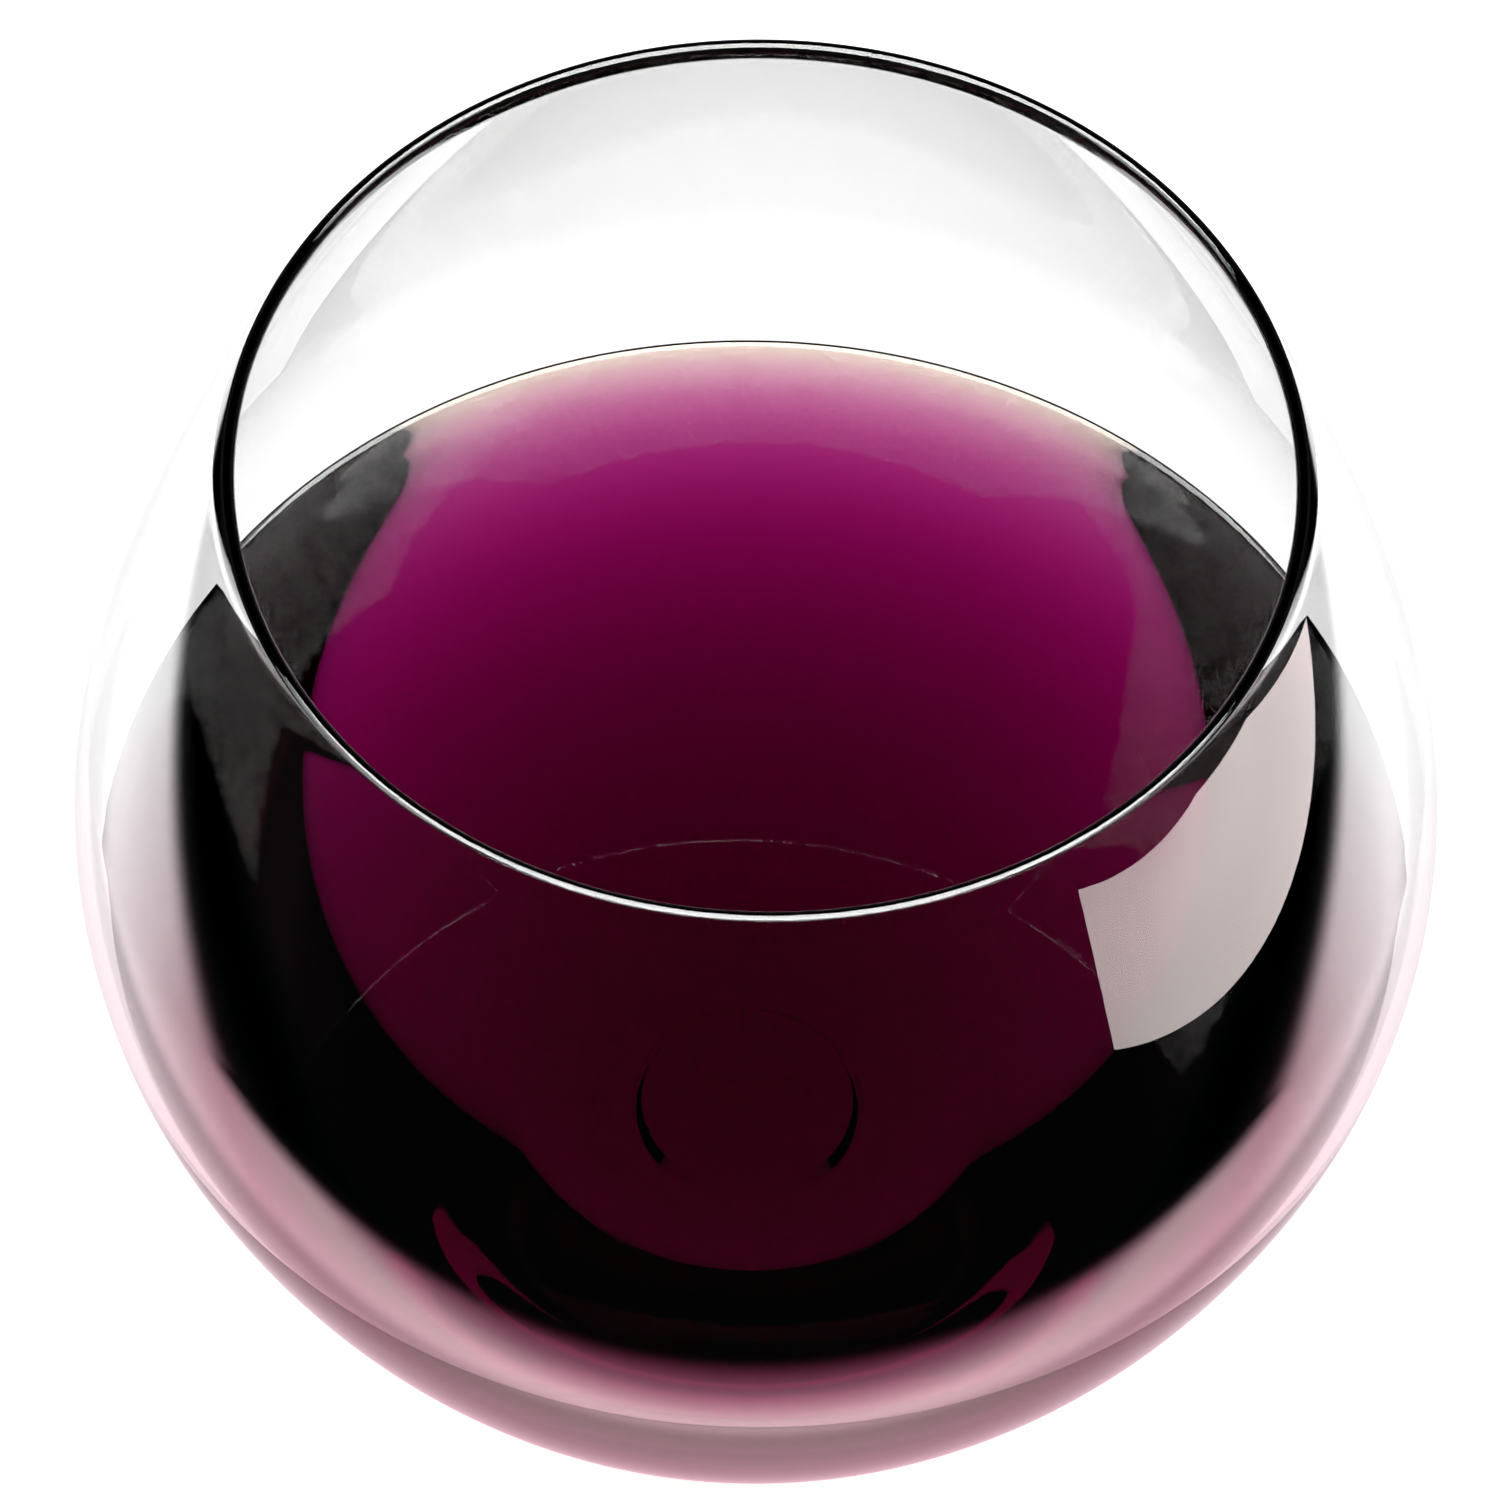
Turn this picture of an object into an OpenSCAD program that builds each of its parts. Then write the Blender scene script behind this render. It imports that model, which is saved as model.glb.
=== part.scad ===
// A stemless red wine glass with its wine, in millimetres.
// The glass stands on the plane z = 0 and is round about the Z axis. Its wall keeps one thickness
// from the rim down past the belly, then grows into a heavy base with a dimple underneath.

/* [Bowl] */
// Outside diameter of the belly, the widest place
belly_d = 100; // [90:1:120]
// Height of the belly above the table
belly_h = 55; // [50:1:66]
// Radius of the tight curve round the belly
belly_curve = 41; // [36:1:44]
// How flat the side above the belly is: 0 is one round curve, 1 is straight
side_flatness = 0.75; // [0.3:0.05:0.95]
// How flat the underside below the belly is: 0 is one round curve, 1 is straight
under_flatness = 0.45; // [0.2:0.05:0.8]

/* [Rim] */
// Outside diameter at the rim
rim_d = 77.5; // [66:0.5:84]
// Height of the whole glass
rim_h = 97; // [90:1:118]
// Thickness of the wall and of the rounded rim
wall = 1.1; // [0.9:0.1:2]

/* [Base] */
// Diameter of the flat that the glass stands on
foot_d = 21; // [20:1:30]
// Radius of the rounded heel between the flat and the underside
heel_r = 14; // [5:1:18]
// Thickness of the glass between the table and the inside floor
base_t = 6.5; // [4:0.5:9]
// Radius of the round floor inside
floor_curve = 34; // [28:1:38]
// Diameter of the dimple in the middle of the flat
dimple_d = 18; // [8:0.5:19]
// Depth of the dimple
dimple_depth = 1; // [0.4:0.1:2]
// Width of the dimple's sloping edge
dimple_edge = 0.8; // [0.2:0.1:2]

/* [Wine] */
// Height of the wine's surface above the table
wine_h = 46; // [20:1:60]

/* [Hidden] */
$fn = 96;

// The section is drawn with X as the distance from the axis and Y as the height. It is a chain of
// arcs, each tangent to the next: rim, side, belly, underside and heel outside, and side, belly,
// underside and floor inside.
reach = 2 * (belly_d + rim_h);   // larger than any part of the section
overlap = 2;                     // how far a slice of the section runs on into the next
nip = 0.002;                     // how far an arc sinks under the next, so that they meet in one edge
lip_r = wall / 2;
lip_centre = [rim_d / 2 - lip_r, rim_h - lip_r];
belly_centre = [belly_d / 2 - belly_curve, belly_h];
heel_centre = [foot_d / 2, heel_r];
floor_centre = [0, base_t + floor_curve];

// Above the belly
side_lean = side_flatness * straight_lean(belly_curve - lip_r, lip_centre - belly_centre);
side_normal = [cos(side_lean), sin(side_lean)];
side_curve = lip_r + tangent_curve(belly_curve - lip_r, side_normal, lip_centre - belly_centre);
side_centre = belly_centre + (belly_curve - side_curve) * side_normal;

// Below the belly, outside
under_lean = under_flatness * straight_lean(belly_curve - heel_r, mirrored(heel_centre - belly_centre));
under_normal = [cos(under_lean), -sin(under_lean)];
under_curve = heel_r + tangent_curve(belly_curve - heel_r, under_normal, heel_centre - belly_centre);
under_centre = belly_centre + (belly_curve - under_curve) * under_normal;

// Below the belly, inside
inner_belly = belly_curve - wall;
inner_under = floor_curve
    + tangent_curve(inner_belly - floor_curve, under_normal, floor_centre - belly_centre);
inner_under_centre = belly_centre + (inner_belly - inner_under) * under_normal;

// Heights at which one arc hands over to the next
shoulder_h = belly_h + belly_curve * sin(side_lean);
inner_shoulder_h = belly_h + inner_belly * sin(side_lean);
hip_h = belly_h - belly_curve * sin(under_lean);
inner_hip_h = belly_h - inner_belly * sin(under_lean);
heel_h = handover(under_centre, under_curve, heel_centre);
floor_h = handover(inner_under_centre, inner_under, floor_centre);

// A point's place with its height turned over
function mirrored(point) = [point.x, -point.y];

// Lean at which a line that touches a circle of this radius runs straight to a point outside it
function straight_lean(radius, point) = atan2(point.y, point.x) - acos(radius / norm(point));

// Radius of the arc that leaves a circle smoothly where its normal points this way, and passes a
// point given from the circle's centre
function tangent_curve(radius, normal, point) =
    let (step = point - radius * normal)
    -(step * step) / (2 * step * normal);

// Height at which an arc about one centre meets the smaller arc tangent to it about another
function handover(centre, radius, next_centre) =
    centre.y + radius * (next_centre - centre).y / norm(next_centre - centre);

// The part of a disc between two heights and on the positive side of the axis
module slice(centre, radius, low, high) {
    intersection() {
        translate(centre) circle(r = radius);
        translate([0, low]) square([reach, high - low]);
    }
}

// Half of the bowl's outside, filled in to the axis, up to the line across the wall's end
module outside_half() {
    lip_lean = atan2(lip_centre.y - side_centre.y, lip_centre.x - side_centre.x);
    intersection() {
        slice(side_centre, side_curve - nip, shoulder_h, rim_h);
        translate(lip_centre) rotate(lip_lean) translate([-reach, -reach]) square([2 * reach, reach]);
    }
    slice(belly_centre, belly_curve, hip_h - overlap, shoulder_h + overlap);
    slice(under_centre, under_curve - nip, heel_h, hip_h);
    slice(heel_centre, heel_r, 0, heel_h + overlap);
    square([heel_centre.x, heel_h + overlap]);
}

// Half of the bowl's hollow, filled in to the axis
module hollow_half() {
    slice(side_centre, side_curve - wall - nip, inner_shoulder_h, rim_h);
    slice(belly_centre, inner_belly, inner_hip_h - overlap, inner_shoulder_h + overlap);
    slice(inner_under_centre, inner_under - nip, floor_h, inner_hip_h);
    slice(floor_centre, floor_curve, base_t, floor_h + overlap);
}

module rim_half() {
    translate(lip_centre) circle(r = lip_r + 2 * nip);
}

// A shallow recess with a flat top and a sloping edge, running on below the table
module dimple() {
    slope = dimple_edge / dimple_depth;
    translate([0, 0, -overlap])
        cylinder(h = dimple_depth + overlap, d1 = dimple_d + 2 * slope * overlap,
                 d2 = dimple_d - 2 * dimple_edge);
}

module glass() {
    color([0.93, 0.95, 0.94, 0.35])
        difference() {
            rotate_extrude() {
                difference() {
                    outside_half();
                    hollow_half();
                }
                rim_half();
            }
            dimple();
        }
}

module wine() {
    color([0.36, 0.02, 0.17])
        rotate_extrude()
            intersection() {
                hollow_half();
                square([reach, wine_h]);
            }
}

glass();
wine();
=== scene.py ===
import math

import bmesh
import bpy
from bpy.props import FloatProperty, FloatVectorProperty, IntProperty
from bpy.props import PointerProperty, StringProperty
from mathutils import Euler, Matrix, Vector


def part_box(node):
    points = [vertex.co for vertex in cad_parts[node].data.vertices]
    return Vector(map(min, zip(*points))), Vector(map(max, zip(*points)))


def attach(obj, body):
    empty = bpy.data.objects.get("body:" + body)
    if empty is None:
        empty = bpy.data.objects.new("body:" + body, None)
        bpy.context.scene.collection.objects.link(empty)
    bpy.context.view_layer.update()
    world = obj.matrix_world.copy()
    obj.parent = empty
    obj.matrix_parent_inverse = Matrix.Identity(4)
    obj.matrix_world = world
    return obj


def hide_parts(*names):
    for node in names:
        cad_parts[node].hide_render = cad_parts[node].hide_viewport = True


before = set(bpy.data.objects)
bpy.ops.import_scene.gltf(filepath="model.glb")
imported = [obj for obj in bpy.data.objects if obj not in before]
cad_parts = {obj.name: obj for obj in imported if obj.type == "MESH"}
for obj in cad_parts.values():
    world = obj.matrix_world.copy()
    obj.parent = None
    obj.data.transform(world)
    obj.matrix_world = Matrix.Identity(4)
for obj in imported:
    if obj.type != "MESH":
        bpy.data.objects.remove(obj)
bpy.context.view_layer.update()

bl_info = {
    "name": "Glass of Red Wine",
    "version": (1, 0, 0),
    "blender": (4, 5, 0),
    "location": "3D View > Sidebar > Wine Glass",
    "description": "Makes a stemless glass, the red wine in it and a small studio around them",
    "category": "Add Mesh",
}

MM = 0.001
GLASS_LOW, GLASS_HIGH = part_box("glass")
WINE_LOW, WINE_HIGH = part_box("wine")
CREASE = math.radians(32)      # a sharper turn than this in a section stays a sharp edge
WELD = 1e-6                    # points closer than this, in metres, are one point
FACETS = 256                   # facets round the glass and the wine
SAGITTA = 0.004 * MM           # how far a chord of a drawn arc may stray from it
FLAT_STEPS = 16                # points along the flat part of the wine's surface
CLIMB_STEPS = 40               # points along the part of it that climbs the glass
DIMPLE_STEPS = 4               # points along the flat top of the dimple
WALL_WAVE = 14.3 * MM          # distance from one swelling of the blown wall to the next
WINE_WAVE = 16.7 * MM          # and from one faint ripple of the wine to the next
BOARD_GRAIN = 2.5 * MM         # coarser than the real grain of board, so that it shows
CLOUD = 167 * MM               # size of the brighter places on the card that shows only as a painted reflection
CARD = ((158, -122), (250, -190), (250, 0), (167, 60))    # the sheet's corners, in millimetres
CARD_LIFT = 2 * MM             # how far the sheet lies above the floor
OVAL = 1.2                     # how much shorter the painted pool of light is from front to back
AIM_UP, AIM_LEFT = 3.6 * MM, 0.1 * MM    # where the camera aims, from the middle of the belly
BOUNCES = 12                   # enough to follow light through wall, wine and wall again


def to_tenth(metres):
    """A size read off the frame, rounded to a tenth of a millimetre."""
    return round(metres / MM, 1) * MM


def linear(hex_colour):
    """Turns an sRGB hex colour such as "#A04060" into the linear colour that shaders take."""
    parts = [int(hex_colour[i:i + 2], 16) / 255 for i in (1, 3, 5)]
    parts = [c / 12.92 if c <= 0.04045 else ((c + 0.055) / 1.055) ** 2.4 for c in parts]
    return (*parts, 1.0)


def add_node(tree, kind, settings=None, links=None):
    """Adds a node, sets its properties, and fills its inputs with values or other sockets."""
    node = tree.nodes.new(kind)
    for name, value in (settings or {}).items():
        setattr(node, name, value)
    for key, value in (links or {}).items():
        socket = node.inputs[key]
        if isinstance(value, bpy.types.NodeSocket):
            tree.links.new(value, socket)
        else:
            socket.default_value = value
    return node


# ---------------------------------------------------------------- sizes and colours

class GlassSizes(bpy.types.PropertyGroup):
    """The stemless glass, with the same sizes as its construction."""
    belly_d: FloatProperty(
        name="Belly Diameter", description="Outside diameter at the widest place",
        default=to_tenth(GLASS_HIGH.x - GLASS_LOW.x), min=0.05, unit="LENGTH", subtype="DISTANCE")
    belly_h: FloatProperty(
        name="Belly Height", description="Height of the widest place above the table",
        default=55 * MM, unit="LENGTH", subtype="DISTANCE")
    belly_curve: FloatProperty(
        name="Belly Curve", description="Radius of the tight curve round the belly",
        default=41 * MM, unit="LENGTH", subtype="DISTANCE")
    side_flatness: FloatProperty(
        name="Side Flatness", description="0 is one round curve above the belly, 1 is straight",
        default=0.75, min=0.3, max=0.95, subtype="FACTOR")
    under_flatness: FloatProperty(
        name="Underside Flatness", description="0 is one round curve below the belly, 1 is straight",
        default=0.45, min=0.2, max=0.8, subtype="FACTOR")
    rim_d: FloatProperty(
        name="Rim Diameter", description="Outside diameter at the rim",
        default=77.5 * MM, unit="LENGTH", subtype="DISTANCE")
    rim_h: FloatProperty(
        name="Height", description="Height of the whole glass",
        default=to_tenth(GLASS_HIGH.z), unit="LENGTH", subtype="DISTANCE")
    wall: FloatProperty(
        name="Wall", description="Thickness of the wall and of the rounded rim",
        default=1.1 * MM, unit="LENGTH", subtype="DISTANCE")
    foot_d: FloatProperty(
        name="Foot Diameter", description="Diameter of the flat that the glass stands on",
        default=21 * MM, unit="LENGTH", subtype="DISTANCE")
    heel_r: FloatProperty(
        name="Heel Radius", description="Radius between the flat and the underside",
        default=14 * MM, unit="LENGTH", subtype="DISTANCE")
    base_t: FloatProperty(
        name="Base Thickness", description="Glass between the table and the floor inside",
        default=to_tenth(WINE_LOW.z), unit="LENGTH", subtype="DISTANCE")
    floor_curve: FloatProperty(
        name="Floor Curve", description="Radius of the round floor inside",
        default=34 * MM, unit="LENGTH", subtype="DISTANCE")
    dimple_d: FloatProperty(
        name="Dimple Diameter", description="Diameter of the dimple in the middle of the flat",
        default=18 * MM, unit="LENGTH", subtype="DISTANCE")
    dimple_depth: FloatProperty(
        name="Dimple Depth", description="Depth of the dimple",
        default=1 * MM, unit="LENGTH", subtype="DISTANCE")
    dimple_edge: FloatProperty(
        name="Dimple Edge", description="Width of the dimple's sloping edge",
        default=0.8 * MM, unit="LENGTH", subtype="DISTANCE")
    turns: IntProperty(
        name="Facets Round", description="How many facets go round the glass",
        default=FACETS, min=32, max=512)
    tint: StringProperty(
        name="Glass Tint", description="sRGB hex colour that 100 mm of the glass lets through",
        default="#C9D6CE")


class WineSizes(bpy.types.PropertyGroup):
    """The wine in the glass."""
    level: FloatProperty(
        name="Level", description="Height of the wine's surface above the table",
        default=to_tenth(WINE_HIGH.z), unit="LENGTH", subtype="DISTANCE")
    reach: FloatProperty(
        name="Reach", description="How far the wine runs into the glass, so that no air gap shows",
        default=0.15 * MM, unit="LENGTH", subtype="DISTANCE")
    capillary: FloatProperty(
        name="Capillary Length", description="Sets how far the surface curves up at the glass",
        default=2.3 * MM, unit="LENGTH", subtype="DISTANCE")
    contact_angle: FloatProperty(
        name="Contact Angle", description="Angle at which the surface meets the glass",
        default=math.radians(60), subtype="ANGLE", unit="ROTATION")
    absorbs: FloatVectorProperty(
        name="Absorption", description="Red, green and blue light taken out per metre of wine",
        default=(84.0, 320.0, 115.0), size=3, min=0.0)
    tint: StringProperty(
        name="Thin Wine", description="sRGB hex colour of light that has passed a thin layer of wine",
        default="#F0E6CC")


class StudioSettings(bpy.types.PropertyGroup):
    """The floor, the lights and the camera."""
    floor_colour: StringProperty(
        name="Floor Colour", description="sRGB hex colour of the pale floor", default="#F4F4F1")
    floor_width: FloatProperty(
        name="Floor Width", description="Width of the round floor",
        default=60.0, unit="LENGTH", subtype="DISTANCE")
    # Painted light: the pool below is glow painted on the board and seen only in reflections in the
    # glass, with a painted shadow of the glass at Pool Glow, a painted bright ring round it at Ring
    # Glow and painted dark floor past it at Floor Glow; through the glass the board glows evenly at
    # Pool Glow.
    pool_shift: FloatProperty(
        name="Pool Shift", description="How far behind the glass the pool of light is centred",
        default=30 * MM, unit="LENGTH", subtype="DISTANCE")
    pool_reach: FloatProperty(
        name="Pool Reach", description="Distance at which the pool of light has long faded",
        default=200 * MM, unit="LENGTH", subtype="DISTANCE")
    pool_glow: FloatProperty(
        name="Pool Glow", description="How brightly the floor glows under the glass", default=1.18)
    ring_glow: FloatProperty(
        name="Ring Glow", description="How brightly the floor glows round the glass", default=2.45)
    floor_glow: FloatProperty(
        name="Floor Glow", description="How brightly the floor glows past the pool", default=0.02)
    board_glow: FloatProperty(
        name="Board Glow", description="How brightly the board itself glows", default=0.72)
    distance: FloatProperty(
        name="Camera Distance", description="From the camera to the middle of the belly",
        default=1.0, unit="LENGTH", subtype="DISTANCE")
    elevation: FloatProperty(
        name="Camera Elevation", description="How far above level the camera stands",
        default=math.radians(55.2), subtype="ANGLE", unit="ROTATION")
    roll: FloatProperty(
        name="Camera Roll", description="How far the picture leans",
        default=math.radians(1.67), subtype="ANGLE", unit="ROTATION")
    lens: FloatProperty(
        name="Lens", description="Focal length on a 36 mm sensor", default=324.4, min=20.0)


# ---------------------------------------------------------------- the section of glass and wine

def straight_lean(radius, point):
    """Lean at which a line that touches a circle runs straight to a point outside it."""
    return math.atan2(point.y, point.x) - math.acos(radius / point.length)


def tangent_curve(radius, normal, point):
    """Radius of the arc that leaves a circle along its normal and passes the point."""
    step = point - radius * normal
    return -step.dot(step) / (2 * step.dot(normal))


def arc(centre, radius, start, end):
    """Points on an arc, close enough together that no chord strays past the sagitta."""
    widest = 2 * math.acos(1 - SAGITTA / radius)
    count = max(4, math.ceil(abs(end - start) / widest))
    return [centre + radius * Vector((math.cos(a), math.sin(a)))
            for a in (start + (end - start) * i / count for i in range(count + 1))]


def chain(*runs):
    """Joins runs of points, leaving out a point that repeats the one before it."""
    points = []
    for run in runs:
        for point in run:
            if not points or (point - points[-1]).length > 10 * WELD:
                points.append(point)
    return points


def angle_to(start, end):
    """Direction from one point to another, as an angle."""
    return math.atan2(end.y - start.y, end.x - start.x)


def bowl_arcs(sizes):
    """Centres, radii and end angles of the arcs that make the bowl, in the section's plane."""
    s = sizes
    arcs = {}
    lip_r = s.wall / 2
    lip = Vector((s.rim_d / 2 - lip_r, s.rim_h - lip_r))
    belly = Vector((s.belly_d / 2 - s.belly_curve, s.belly_h))
    heel = Vector((s.foot_d / 2, s.heel_r))
    floor = Vector((0, s.base_t + s.floor_curve))
    to_lip, to_heel = lip - belly, heel - belly

    side_lean = s.side_flatness * straight_lean(s.belly_curve - lip_r, to_lip)
    normal = Vector((math.cos(side_lean), math.sin(side_lean)))
    side_r = lip_r + tangent_curve(s.belly_curve - lip_r, normal, to_lip)
    side = belly + (s.belly_curve - side_r) * normal

    below = Vector((to_heel.x, -to_heel.y))
    under_lean = s.under_flatness * straight_lean(s.belly_curve - s.heel_r, below)
    normal = Vector((math.cos(under_lean), -math.sin(under_lean)))
    under_r = s.heel_r + tangent_curve(s.belly_curve - s.heel_r, normal, to_heel)
    under = belly + (s.belly_curve - under_r) * normal

    inner_r = s.belly_curve - s.wall
    inner_under_r = s.floor_curve + tangent_curve(inner_r - s.floor_curve, normal, floor - belly)
    inner_under = belly + (inner_r - inner_under_r) * normal

    lip_lean = angle_to(side, lip)
    heel_lean = angle_to(under, heel)
    floor_lean = angle_to(inner_under, floor)
    down = -math.pi / 2
    arcs["heel"] = (heel, s.heel_r, down, heel_lean)
    arcs["under"] = (under, under_r, heel_lean, -under_lean)
    arcs["belly"] = (belly, s.belly_curve, -under_lean, side_lean)
    arcs["side"] = (side, side_r, side_lean, lip_lean)
    arcs["lip"] = (lip, lip_r, lip_lean, lip_lean + math.pi)
    arcs["inner side"] = (side, side_r - s.wall, lip_lean, side_lean)
    arcs["inner belly"] = (belly, inner_r, side_lean, -under_lean)
    arcs["inner under"] = (inner_under, inner_under_r, -under_lean, floor_lean)
    arcs["floor"] = (floor, s.floor_curve, floor_lean, down)
    return arcs


def glass_section(sizes):
    """The glass's section from the middle of the dimple, round the rim, to the floor inside."""
    arcs = bowl_arcs(sizes)
    half, depth = sizes.dimple_d / 2, sizes.dimple_depth
    top = half - sizes.dimple_edge
    dimple = [Vector((top * i / DIMPLE_STEPS, depth)) for i in range(DIMPLE_STEPS + 1)]
    dimple.append(Vector((half, 0)))
    runs = [dimple] + [arc(*arcs[name]) for name in (
        "heel", "under", "belly", "side", "lip", "inner side", "inner belly", "inner under", "floor")]
    return chain(*runs)


def climb_height(wine):
    """How high a liquid climbs a steep wall, from its capillary length and contact angle."""
    return wine.capillary * math.sqrt(2 * (1 - math.sin(wine.contact_angle)))


def away_from_wall(wine, climb, rise):
    """How far from the wall the climbing surface stands at a height above the level."""
    def run(height):
        part = height / wine.capillary
        return wine.capillary * (math.acosh(2 / part) - math.sqrt(4 - part * part))
    return run(climb) - run(rise)


def wine_section(glass, wine):
    """The wine's section: its surface from the middle to the edge, then down the wall's inside."""
    arcs = bowl_arcs(glass)
    wall = []
    for name in ("inner side", "inner belly", "inner under", "floor"):
        centre, radius, start, end = arcs[name]
        wall.append(arc(centre, radius + wine.reach, start, end))
    wall = chain(*wall)
    rise = climb_height(wine)
    edge_h = wine.level + rise
    below = next(i for i, point in enumerate(wall) if point.y < edge_h)
    high, low = wall[below - 1], wall[below]
    edge = high.lerp(low, (high.y - edge_h) / (high.y - low.y))
    # Heights above the level, from nothing to the full climb, closer together where it is steep.
    climbs = [rise * (i / CLIMB_STEPS) ** 2 for i in range(2, CLIMB_STEPS)]
    curved = [Vector((edge.x - away_from_wall(wine, climb, rise), wine.level + climb))
              for climb in climbs]
    flat = [Vector((curved[0].x * i / FLAT_STEPS, wine.level)) for i in range(FLAT_STEPS)]
    surface = flat + curved
    return chain(surface, [edge], wall[below:])


# ---------------------------------------------------------------- turning a section about the axis

def turning_tree():
    """Geometry nodes that turn a section about the Z axis, as a lathe does."""
    tree = bpy.data.node_groups.new("Turn Section", "GeometryNodeTree")
    face = tree.interface
    face.new_socket("Section", in_out="INPUT", socket_type="NodeSocketGeometry")
    facets = face.new_socket("Facets Round", in_out="INPUT", socket_type="NodeSocketInt")
    facets.default_value = FACETS
    crease = face.new_socket("Crease Angle", in_out="INPUT", socket_type="NodeSocketFloat")
    crease.subtype = "ANGLE"
    weld = face.new_socket("Weld Distance", in_out="INPUT", socket_type="NodeSocketFloat")
    weld.subtype = "DISTANCE"
    face.new_socket("Finish", in_out="INPUT", socket_type="NodeSocketMaterial")
    face.new_socket("Turned", in_out="OUTPUT", socket_type="NodeSocketGeometry")

    given = add_node(tree, "NodeGroupInput").outputs
    section, round_count = given["Section"], given["Facets Round"]
    points = add_node(tree, "GeometryNodeAttributeDomainSize", {"component": "MESH"},
                      {"Geometry": section}).outputs["Point Count"]
    columns = add_node(tree, "ShaderNodeMath", {"operation": "ADD"}, {0: round_count, 1: 1.0})
    grid = add_node(tree, "GeometryNodeMeshGrid", None, {
        "Size X": 1.0, "Size Y": 1.0, "Vertices X": columns.outputs[0], "Vertices Y": points})
    index = add_node(tree, "GeometryNodeInputIndex").outputs[0]
    place = add_node(tree, "ShaderNodeMath", {"operation": "MODULO"}, {0: index, 1: points})
    share = add_node(tree, "ShaderNodeMath", {"operation": "DIVIDE"}, {0: index, 1: points})
    column = add_node(tree, "ShaderNodeMath", {"operation": "FLOOR"}, {0: share.outputs[0]})
    turn = add_node(tree, "ShaderNodeMath", {"operation": "DIVIDE"},
                    {0: column.outputs[0], 1: round_count})
    angle = add_node(tree, "ShaderNodeMath", {"operation": "MULTIPLY"},
                     {0: turn.outputs[0], 1: 2 * math.pi}).outputs[0]
    position = add_node(tree, "GeometryNodeInputPosition").outputs[0]
    drawn = add_node(tree, "GeometryNodeSampleIndex", {"data_type": "FLOAT_VECTOR", "domain": "POINT"},
                     {"Geometry": section, "Value": position, "Index": place.outputs[0]})
    drawn = add_node(tree, "ShaderNodeSeparateXYZ", None, {0: drawn.outputs[0]})
    sideways = []
    for operation in ("COSINE", "SINE"):
        part = add_node(tree, "ShaderNodeMath", {"operation": operation}, {0: angle}).outputs[0]
        sideways.append(add_node(tree, "ShaderNodeMath", {"operation": "MULTIPLY"},
                                 {0: part, 1: drawn.outputs["X"]}).outputs[0])
    turned = add_node(tree, "ShaderNodeCombineXYZ", None,
                      {"X": sideways[0], "Y": sideways[1], "Z": drawn.outputs["Z"]})
    body = add_node(tree, "GeometryNodeSetPosition", None,
                    {"Geometry": grid.outputs["Mesh"], "Position": turned.outputs[0]})
    body = add_node(tree, "GeometryNodeMergeByDistance", None,
                    {"Geometry": body.outputs[0], "Distance": given["Weld Distance"]})
    body = add_node(tree, "GeometryNodeSetShadeSmooth", {"domain": "FACE"},
                    {"Geometry": body.outputs[0], "Shade Smooth": True})
    bend = add_node(tree, "GeometryNodeInputMeshEdgeAngle").outputs["Unsigned Angle"]
    sharp = add_node(tree, "FunctionNodeCompare", {"data_type": "FLOAT", "operation": "GREATER_THAN"},
                     {"A": bend, "B": given["Crease Angle"]})
    body = add_node(tree, "GeometryNodeSetShadeSmooth", {"domain": "EDGE"},
                    {"Geometry": body.outputs[0], "Selection": sharp.outputs[0], "Shade Smooth": False})
    body = add_node(tree, "GeometryNodeRealizeInstances", None, {"Geometry": body.outputs[0]})
    body = add_node(tree, "GeometryNodeSetMaterial", None,
                    {"Geometry": body.outputs[0], "Material": given["Finish"]})
    add_node(tree, "NodeGroupOutput", None, {"Turned": body.outputs[0]})
    return tree


def turned_piece(name, section, facets, finish):
    """A plain mesh object: the section turned about the Z axis, with one finish."""
    points = [(point.x, 0, point.y) for point in section]
    drawing = bpy.data.meshes.new(name + "_section")
    drawing.from_pydata(points, [(i, i + 1) for i in range(len(points) - 1)], [])
    lathe = bpy.data.objects.new(name + "_section", drawing)
    bpy.context.scene.collection.objects.link(lathe)
    tree = bpy.data.node_groups.get("Turn Section") or turning_tree()
    modifier = lathe.modifiers.new("Turn Section", "NODES")
    modifier.node_group = tree
    sockets = {item.name: item.identifier for item in tree.interface.items_tree
               if item.in_out == "INPUT"}
    for label, value in (("Facets Round", facets), ("Crease Angle", CREASE),
                         ("Weld Distance", WELD), ("Finish", finish)):
        modifier[sockets[label]] = value
    evaluated = lathe.evaluated_get(bpy.context.evaluated_depsgraph_get())
    mesh = bpy.data.meshes.new_from_object(evaluated)
    lathe.modifiers.remove(modifier)
    bpy.data.objects.remove(lathe)
    bpy.data.meshes.remove(drawing)

    work = bmesh.new()
    work.from_mesh(mesh)
    bmesh.ops.recalc_face_normals(work, faces=work.faces)
    if work.calc_volume(signed=True) < 0:
        bmesh.ops.reverse_faces(work, faces=work.faces)
    open_edges = [edge for edge in work.edges if not edge.is_manifold]
    if open_edges:
        raise RuntimeError(f"{name} has {len(open_edges)} open edges")
    work.to_mesh(mesh)
    work.free()
    mesh.name = name
    piece = bpy.data.objects.new(name, mesh)
    bpy.context.scene.collection.objects.link(piece)
    return piece


# ---------------------------------------------------------------- finishes

def new_finish(name):
    """A new material, with nothing in its node tree yet."""
    finish = bpy.data.materials.new(name)
    finish.use_nodes = True
    tree = finish.node_tree
    tree.nodes.clear()
    return finish, tree


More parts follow.
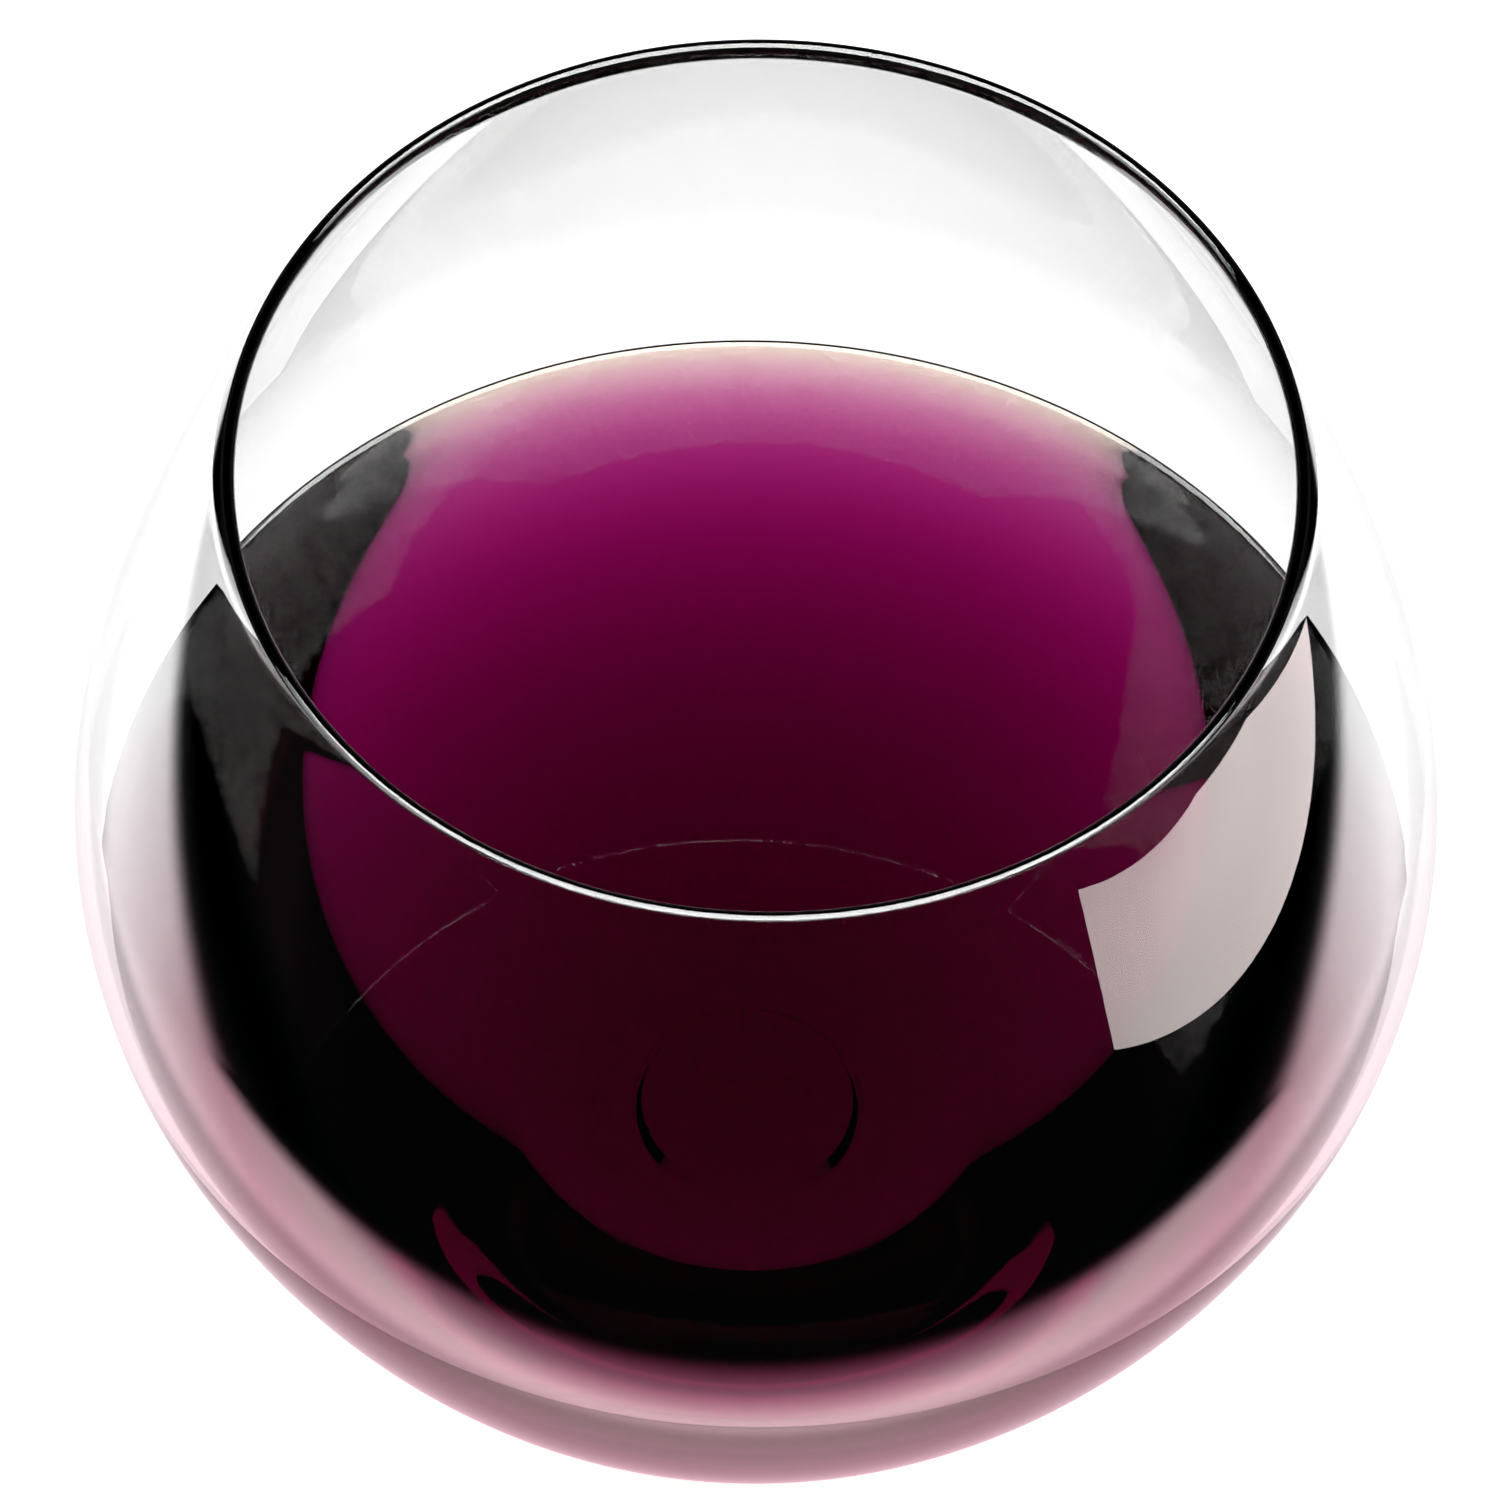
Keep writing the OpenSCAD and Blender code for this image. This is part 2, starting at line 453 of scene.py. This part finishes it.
def blown_glass(sizes):
    """Soda-lime glass, machine-blown and fire-polished: clear, with sharp bright highlights."""
    finish, tree = new_finish("blown_soda_lime_glass")
    spot = add_node(tree, "ShaderNodeTexCoord").outputs["Object"]
    # Blowing leaves the wall slightly uneven over 10 to 20 mm, which bends its highlights a little.
    waves = add_node(tree, "ShaderNodeTexNoise", None,
                     {"Vector": spot, "Scale": 1 / WALL_WAVE, "Detail": 1.0, "Roughness": 0.4})
    bump = add_node(tree, "ShaderNodeBump", None,
                    {"Strength": 0.015, "Distance": 0.1 * MM, "Height": waves.outputs[0]})
    skin = add_node(tree, "ShaderNodeBsdfPrincipled", None, {
        "Base Color": linear("#FFFFFF"), "Roughness": 0.0, "IOR": 1.5,
        "Transmission Weight": 1.0, "Normal": bump.outputs[0]})
    # What 100 mm of it lets through, as absorption per metre.
    clear = linear(sizes.tint)
    taken = [-math.log(c) / 0.1 for c in clear[:3]]
    inside = add_node(tree, "ShaderNodeVolumeAbsorption", None, absorption(taken))
    add_node(tree, "ShaderNodeOutputMaterial", None,
             {"Surface": skin.outputs[0], "Volume": inside.outputs[0]})
    return finish


def absorption(taken):
    """Colour and density of an absorbing volume that takes this much light out per metre."""
    density = max(taken) * 1.02
    return {"Color": (*(1 - part / density for part in taken), 1), "Density": density}


def red_wine(wine):
    """Young red wine, still and clear: pink where it is thin, and almost black where it is deep."""
    finish, tree = new_finish("young_red_wine")
    spot = add_node(tree, "ShaderNodeTexCoord").outputs["Object"]
    waves = add_node(tree, "ShaderNodeTexNoise", None,
                     {"Vector": spot, "Scale": 1 / WINE_WAVE, "Detail": 0.0})
    bump = add_node(tree, "ShaderNodeBump", None,
                    {"Strength": 0.01, "Distance": 0.1 * MM, "Height": waves.outputs[0]})
    skin = add_node(tree, "ShaderNodeBsdfPrincipled", None, {
        "Base Color": linear(wine.tint), "Roughness": 0.0, "IOR": 1.345,
        "Transmission Weight": 1.0, "Normal": bump.outputs[0]})
    inside = add_node(tree, "ShaderNodeVolumeAbsorption", None, absorption(wine.absorbs))
    add_node(tree, "ShaderNodeOutputMaterial", None,
             {"Surface": skin.outputs[0], "Volume": inside.outputs[0]})
    return finish


def blend(ramp, stops):
    """Gives a colour ramp these places and hex colours."""
    while len(ramp.elements) > 1:
        ramp.elements.remove(ramp.elements[-1])
    ramp.elements[0].position, ramp.elements[0].color = stops[0][0], linear(stops[0][1])
    for place, colour in stops[1:]:
        ramp.elements.new(place).color = linear(colour)


def board_with_painted_pool(studio):
    """Pale matt board that glows evenly, as if over a lit sheet; no gloss, and a very fine grain. A
    pool of light, a shadow of the glass and wine-coloured light are painted on it as glow and colour
    that show only in reflections in the glass.
    """
    finish, tree = new_finish("pale_board_painted_pool")
    spot = add_node(tree, "ShaderNodeTexCoord").outputs["Object"]
    grain = add_node(tree, "ShaderNodeTexNoise", None,
                     {"Vector": spot, "Scale": 1 / BOARD_GRAIN, "Detail": 2.0})
    bump = add_node(tree, "ShaderNodeBump", None,
                    {"Strength": 0.1, "Distance": 0.05 * MM, "Height": grain.outputs[0]})
    oval = add_node(tree, "ShaderNodeVectorMath", {"operation": "MULTIPLY"},
                    {0: spot, 1: (1, OVAL, 1)}).outputs[0]
    apart = add_node(tree, "ShaderNodeVectorMath", {"operation": "DISTANCE"},
                     {0: oval, 1: (0, OVAL * studio.pool_shift, 0)})
    apart = add_node(tree, "ShaderNodeMapRange", None, {
        "Value": apart.outputs["Value"], "From Max": studio.pool_reach}).outputs[0]
    glow = add_node(tree, "ShaderNodeFloatCurve", None, {"Value": apart})
    # Painted pool of light: brightness at shares of the pool's reach, from its middle outwards, with a
    # painted shadow of the glass in the middle, a painted bright ring round it and painted dark floor
    # past it
    steps = ((0.0, studio.pool_glow), (0.48, studio.pool_glow), (0.55, studio.ring_glow),
             (0.69, studio.ring_glow), (0.76, studio.floor_glow), (1.0, studio.floor_glow))
    curve = glow.mapping.curves[0]
    glow.mapping.use_clip = False
    while len(curve.points) > 2:
        curve.points.remove(curve.points[0])
    curve.points[0].location, curve.points[1].location = steps[0], steps[-1]
    for step in steps[1:-1]:
        curve.points.new(*step)
    glow.mapping.update()
    # Painted light and shade for the glass: in reflections the board shows a painted pool of light with
    # dark surroundings. Seen directly or through the glass, the board is evenly pale.
    path = add_node(tree, "ShaderNodeLightPath").outputs
    direct, mirrored = path["Is Camera Ray"], path["Glossy Depth"]
    mirrored = add_node(tree, "ShaderNodeClamp", None, {"Value": mirrored}).outputs[0]
    strength = add_node(tree, "ShaderNodeMix", {"data_type": "FLOAT"},
                        {0: mirrored, 2: studio.pool_glow, 3: glow.outputs[0]})
    strength = add_node(tree, "ShaderNodeMix", {"data_type": "FLOAT"},
                        {0: direct, 2: strength.outputs[0], 3: studio.board_glow})
    # Painted shade: to every ray but the camera's, the board's own colour is a dark grey.
    colour, dark = linear(studio.floor_colour), linear("#181818")
    paint = add_node(tree, "ShaderNodeMix", {"data_type": "RGBA"}, {0: direct, 6: dark, 7: colour})
    # Painted caustic and shadow: in reflections, a colour ramp tints the sheet in front of the glass as
    # light that has come through the wine would, from near black far in front, through wine colour and
    # pink, to white behind the glass.
    ahead = add_node(tree, "ShaderNodeSeparateXYZ", None, {0: spot}).outputs["Y"]
    ahead = add_node(tree, "ShaderNodeMapRange", None, {
        "Value": ahead, "From Min": -120 * MM, "From Max": 60 * MM})
    painted_wine_light = add_node(tree, "ShaderNodeValToRGB", None, {0: ahead.outputs[0]})
    blend(painted_wine_light.color_ramp, ((0.08, "#050001"), (0.187, "#8A3C59"), (0.253, "#BC7590"),
                             (0.333, "#FFD2DC"), (0.467, "#F0B4C6"), (0.667, "#FFE9F0"),
                             (0.95, "#FFFFFF")))
    painted_wine_light = add_node(tree, "ShaderNodeMix", {"data_type": "RGBA"}, {
        0: mirrored, 6: linear("#FFFFFF"), 7: painted_wine_light.outputs[0]})
    painted_wine_light = add_node(tree, "ShaderNodeMix", {"data_type": "RGBA"}, {
        0: direct, 6: painted_wine_light.outputs[2], 7: colour})
    skin = add_node(tree, "ShaderNodeBsdfPrincipled", None, {
        "Base Color": paint.outputs[2], "Roughness": 0.9, "Specular IOR Level": 0.0,
        "Normal": bump.outputs[0], "Emission Color": painted_wine_light.outputs[2],
        "Emission Strength": strength.outputs[0]})
    add_node(tree, "ShaderNodeOutputMaterial", None, {"Surface": skin.outputs[0]})
    return finish


# ---------------------------------------------------------------- operators

class TABLEWARE_OT_glass(bpy.types.Operator):
    """Make the stemless glass"""
    bl_idname = "tableware.glass"
    bl_label = "Glass"
    bl_options = {"REGISTER", "UNDO"}

    def execute(self, context):
        sizes = context.scene.glass_sizes
        piece = turned_piece("glass_bowl", glass_section(sizes), sizes.turns, blown_glass(sizes))
        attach(piece, "root")
        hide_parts("glass")
        return {"FINISHED"}


class TABLEWARE_OT_wine(bpy.types.Operator):
    """Make the wine, which reaches just into the wall of the glass"""
    bl_idname = "tableware.wine"
    bl_label = "Wine"
    bl_options = {"REGISTER", "UNDO"}

    def execute(self, context):
        sizes, wine = context.scene.glass_sizes, context.scene.wine_sizes
        piece = turned_piece("wine_fill", wine_section(sizes, wine), sizes.turns, red_wine(wine))
        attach(piece, "root")
        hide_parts("wine")
        return {"FINISHED"}


def sky(scene):
    """A pale studio with a dark ceiling."""
    world = bpy.data.worlds.new("studio")
    world.use_nodes = True
    scene.world = world
    tree = world.node_tree
    tree.nodes.clear()
    way = add_node(tree, "ShaderNodeTexCoord").outputs["Generated"]
    height = add_node(tree, "ShaderNodeSeparateXYZ", None, {0: way}).outputs["Z"]
    height = add_node(tree, "ShaderNodeMapRange", None, {"Value": height, "From Min": -1.0}).outputs[0]
    ramp = add_node(tree, "ShaderNodeValToRGB", None, {0: height})
    blend(ramp.color_ramp, ((0.5, "#F6F6F4"), (0.65, "#F0F0EE"),
                            (0.775, "#3A3A3A"), (1.0, "#202020")))
    # Painted dark reflections: to rays mirrored by the glass, the studio's walls show at about an
    # eighth of their brightness, so the glass mirrors them only dimly.
    mirrored = add_node(tree, "ShaderNodeLightPath").outputs["Glossy Depth"]
    strength = add_node(tree, "ShaderNodeMapRange", None, {
        "Value": mirrored, "To Min": 1.0, "To Max": 0.12})
    glow = add_node(tree, "ShaderNodeBackground", None,
                    {"Color": ramp.outputs[0], "Strength": strength.outputs[0]})
    add_node(tree, "ShaderNodeOutputWorld", None, {"Surface": glow.outputs[0]})


def panel_light(scene, name, place, target, size, power, only_shine=False):
    """A soft rectangular light aimed at a target. With only_shine it shows as a reflection only."""
    lamp = bpy.data.lights.new(name, "AREA")
    lamp.shape = "RECTANGLE"
    lamp.size, lamp.size_y = size
    lamp.energy = power
    holder = bpy.data.objects.new(name, lamp)
    holder.location = place
    holder.rotation_euler = (Vector(target) - Vector(place)).to_track_quat("-Z", "Y").to_euler()
    holder.visible_camera = False
    holder.visible_diffuse = holder.visible_transmission = not only_shine
    scene.collection.objects.link(holder)


def low_card(scene):
    """A glowing card on the right, just over the floor, that lights nothing and only shows in the glass
    as a painted reflection.
    """
    mesh = bpy.data.meshes.new("low_card")
    mesh.from_pydata([(x * MM, y * MM, CARD_LIFT) for x, y in CARD], [], [range(4)])
    finish, tree = new_finish("painted_reflection_sheet")
    spot = add_node(tree, "ShaderNodeTexCoord").outputs["Object"]
    cloud = add_node(tree, "ShaderNodeTexNoise", None,
                     {"Vector": spot, "Scale": 1 / CLOUD, "Detail": 1.0})
    glow = add_node(tree, "ShaderNodeMapRange", None, {"Value": cloud.outputs[0],
                    "From Min": 0.3, "From Max": 0.7, "To Min": 5.0, "To Max": 8.0})
    light = add_node(tree, "ShaderNodeEmission", None,
                     {"Color": linear("#FFF0EE"), "Strength": glow.outputs[0]})
    add_node(tree, "ShaderNodeOutputMaterial", None, {"Surface": light.outputs[0]})
    mesh.materials.append(finish)
    card = bpy.data.objects.new("low_card", mesh)
    for kind in ("camera", "diffuse", "transmission", "shadow"):
        setattr(card, "visible_" + kind, False)
    scene.collection.objects.link(card)


class TABLEWARE_OT_studio(bpy.types.Operator):
    """Lay the floor and set up the lights and the camera"""
    bl_idname = "tableware.studio"
    bl_label = "Studio"
    bl_options = {"REGISTER", "UNDO"}

    def execute(self, context):
        scene, studio = context.scene, context.scene.studio_settings
        mesh = bpy.data.meshes.new("floor")
        work = bmesh.new()
        bmesh.ops.create_circle(work, cap_ends=True, segments=96, radius=studio.floor_width / 2)
        work.to_mesh(mesh)
        work.free()
        mesh.materials.append(board_with_painted_pool(studio))
        floor = bpy.data.objects.new("floor", mesh)
        scene.collection.objects.link(floor)

        sky(scene)
        middle = (0, 0, 0.05)
        panel_light(scene, "key_panel", (1.3, -0.3, 1.6), middle, size=(1.2, 1.2), power=30)
        panel_light(scene, "fill_panel", (-1.5, -0.3, 1.4), middle, size=(1.2, 1.2), power=24)
        panel_light(scene, "top_panel", (0, -0.5, 1.5), (0, -0.5, 0), size=(2, 2), power=250,
                    only_shine=True)
        low_card(scene)

        self.camera(context)
        scene.view_settings.view_transform = "Standard"
        scene.cycles.max_bounces = BOUNCES
        scene.cycles.transmission_bounces = BOUNCES
        return {"FINISHED"}

    def camera(self, context):
        scene, studio = context.scene, context.scene.studio_settings
        lens = bpy.data.cameras.new("camera")
        lens.sensor_width = 36
        lens.lens = studio.lens
        lens.clip_start, lens.clip_end = 0.01, 50
        camera = bpy.data.objects.new("camera", lens)
        scene.collection.objects.link(camera)
        belly = Vector((0, 0, context.scene.glass_sizes.belly_h))
        up = Vector((0, math.sin(studio.elevation), math.cos(studio.elevation)))
        back = Vector((0, -math.cos(studio.elevation), math.sin(studio.elevation)))
        right = Vector((1, 0, 0))
        aim = belly + up * AIM_UP - right * AIM_LEFT
        camera.location = aim + back * studio.distance
        turn = Euler((math.pi / 2 - studio.elevation, 0, 0)).to_matrix()
        lean = Euler((0, 0, studio.roll)).to_matrix()
        camera.rotation_euler = (turn @ lean).to_euler()
        scene.camera = camera


class TABLEWARE_PT_panel(bpy.types.Panel):
    """Sizes of the glass and the wine, and the buttons that make them"""
    bl_label = "Glass of Red Wine"
    bl_idname = "TABLEWARE_PT_panel"
    bl_space_type = "VIEW_3D"
    bl_region_type = "UI"
    bl_category = "Wine Glass"

    def draw(self, context):
        layout = self.layout
        for operator, group in OPERATORS:
            box = layout.box()
            settings = getattr(context.scene, group)
            for name in settings.__annotations__:
                box.prop(settings, name)
            box.operator(operator)


GROUPS = (("glass_sizes", GlassSizes), ("wine_sizes", WineSizes), ("studio_settings", StudioSettings))
OPERATORS = (("tableware.glass", "glass_sizes"), ("tableware.wine", "wine_sizes"),
             ("tableware.studio", "studio_settings"))
CLASSES = (*(group for _, group in GROUPS), TABLEWARE_OT_glass, TABLEWARE_OT_wine,
           TABLEWARE_OT_studio, TABLEWARE_PT_panel)


def register():
    for cls in CLASSES:
        bpy.utils.register_class(cls)
    for name, group in GROUPS:
        setattr(bpy.types.Scene, name, PointerProperty(type=group))


def unregister():
    for name, _ in GROUPS:
        delattr(bpy.types.Scene, name)
    for cls in reversed(CLASSES):
        bpy.utils.unregister_class(cls)


def main():
    register()
    for operator in (bpy.ops.tableware.glass, bpy.ops.tableware.wine, bpy.ops.tableware.studio):
        operator()


if __name__ == "__main__":
    main()
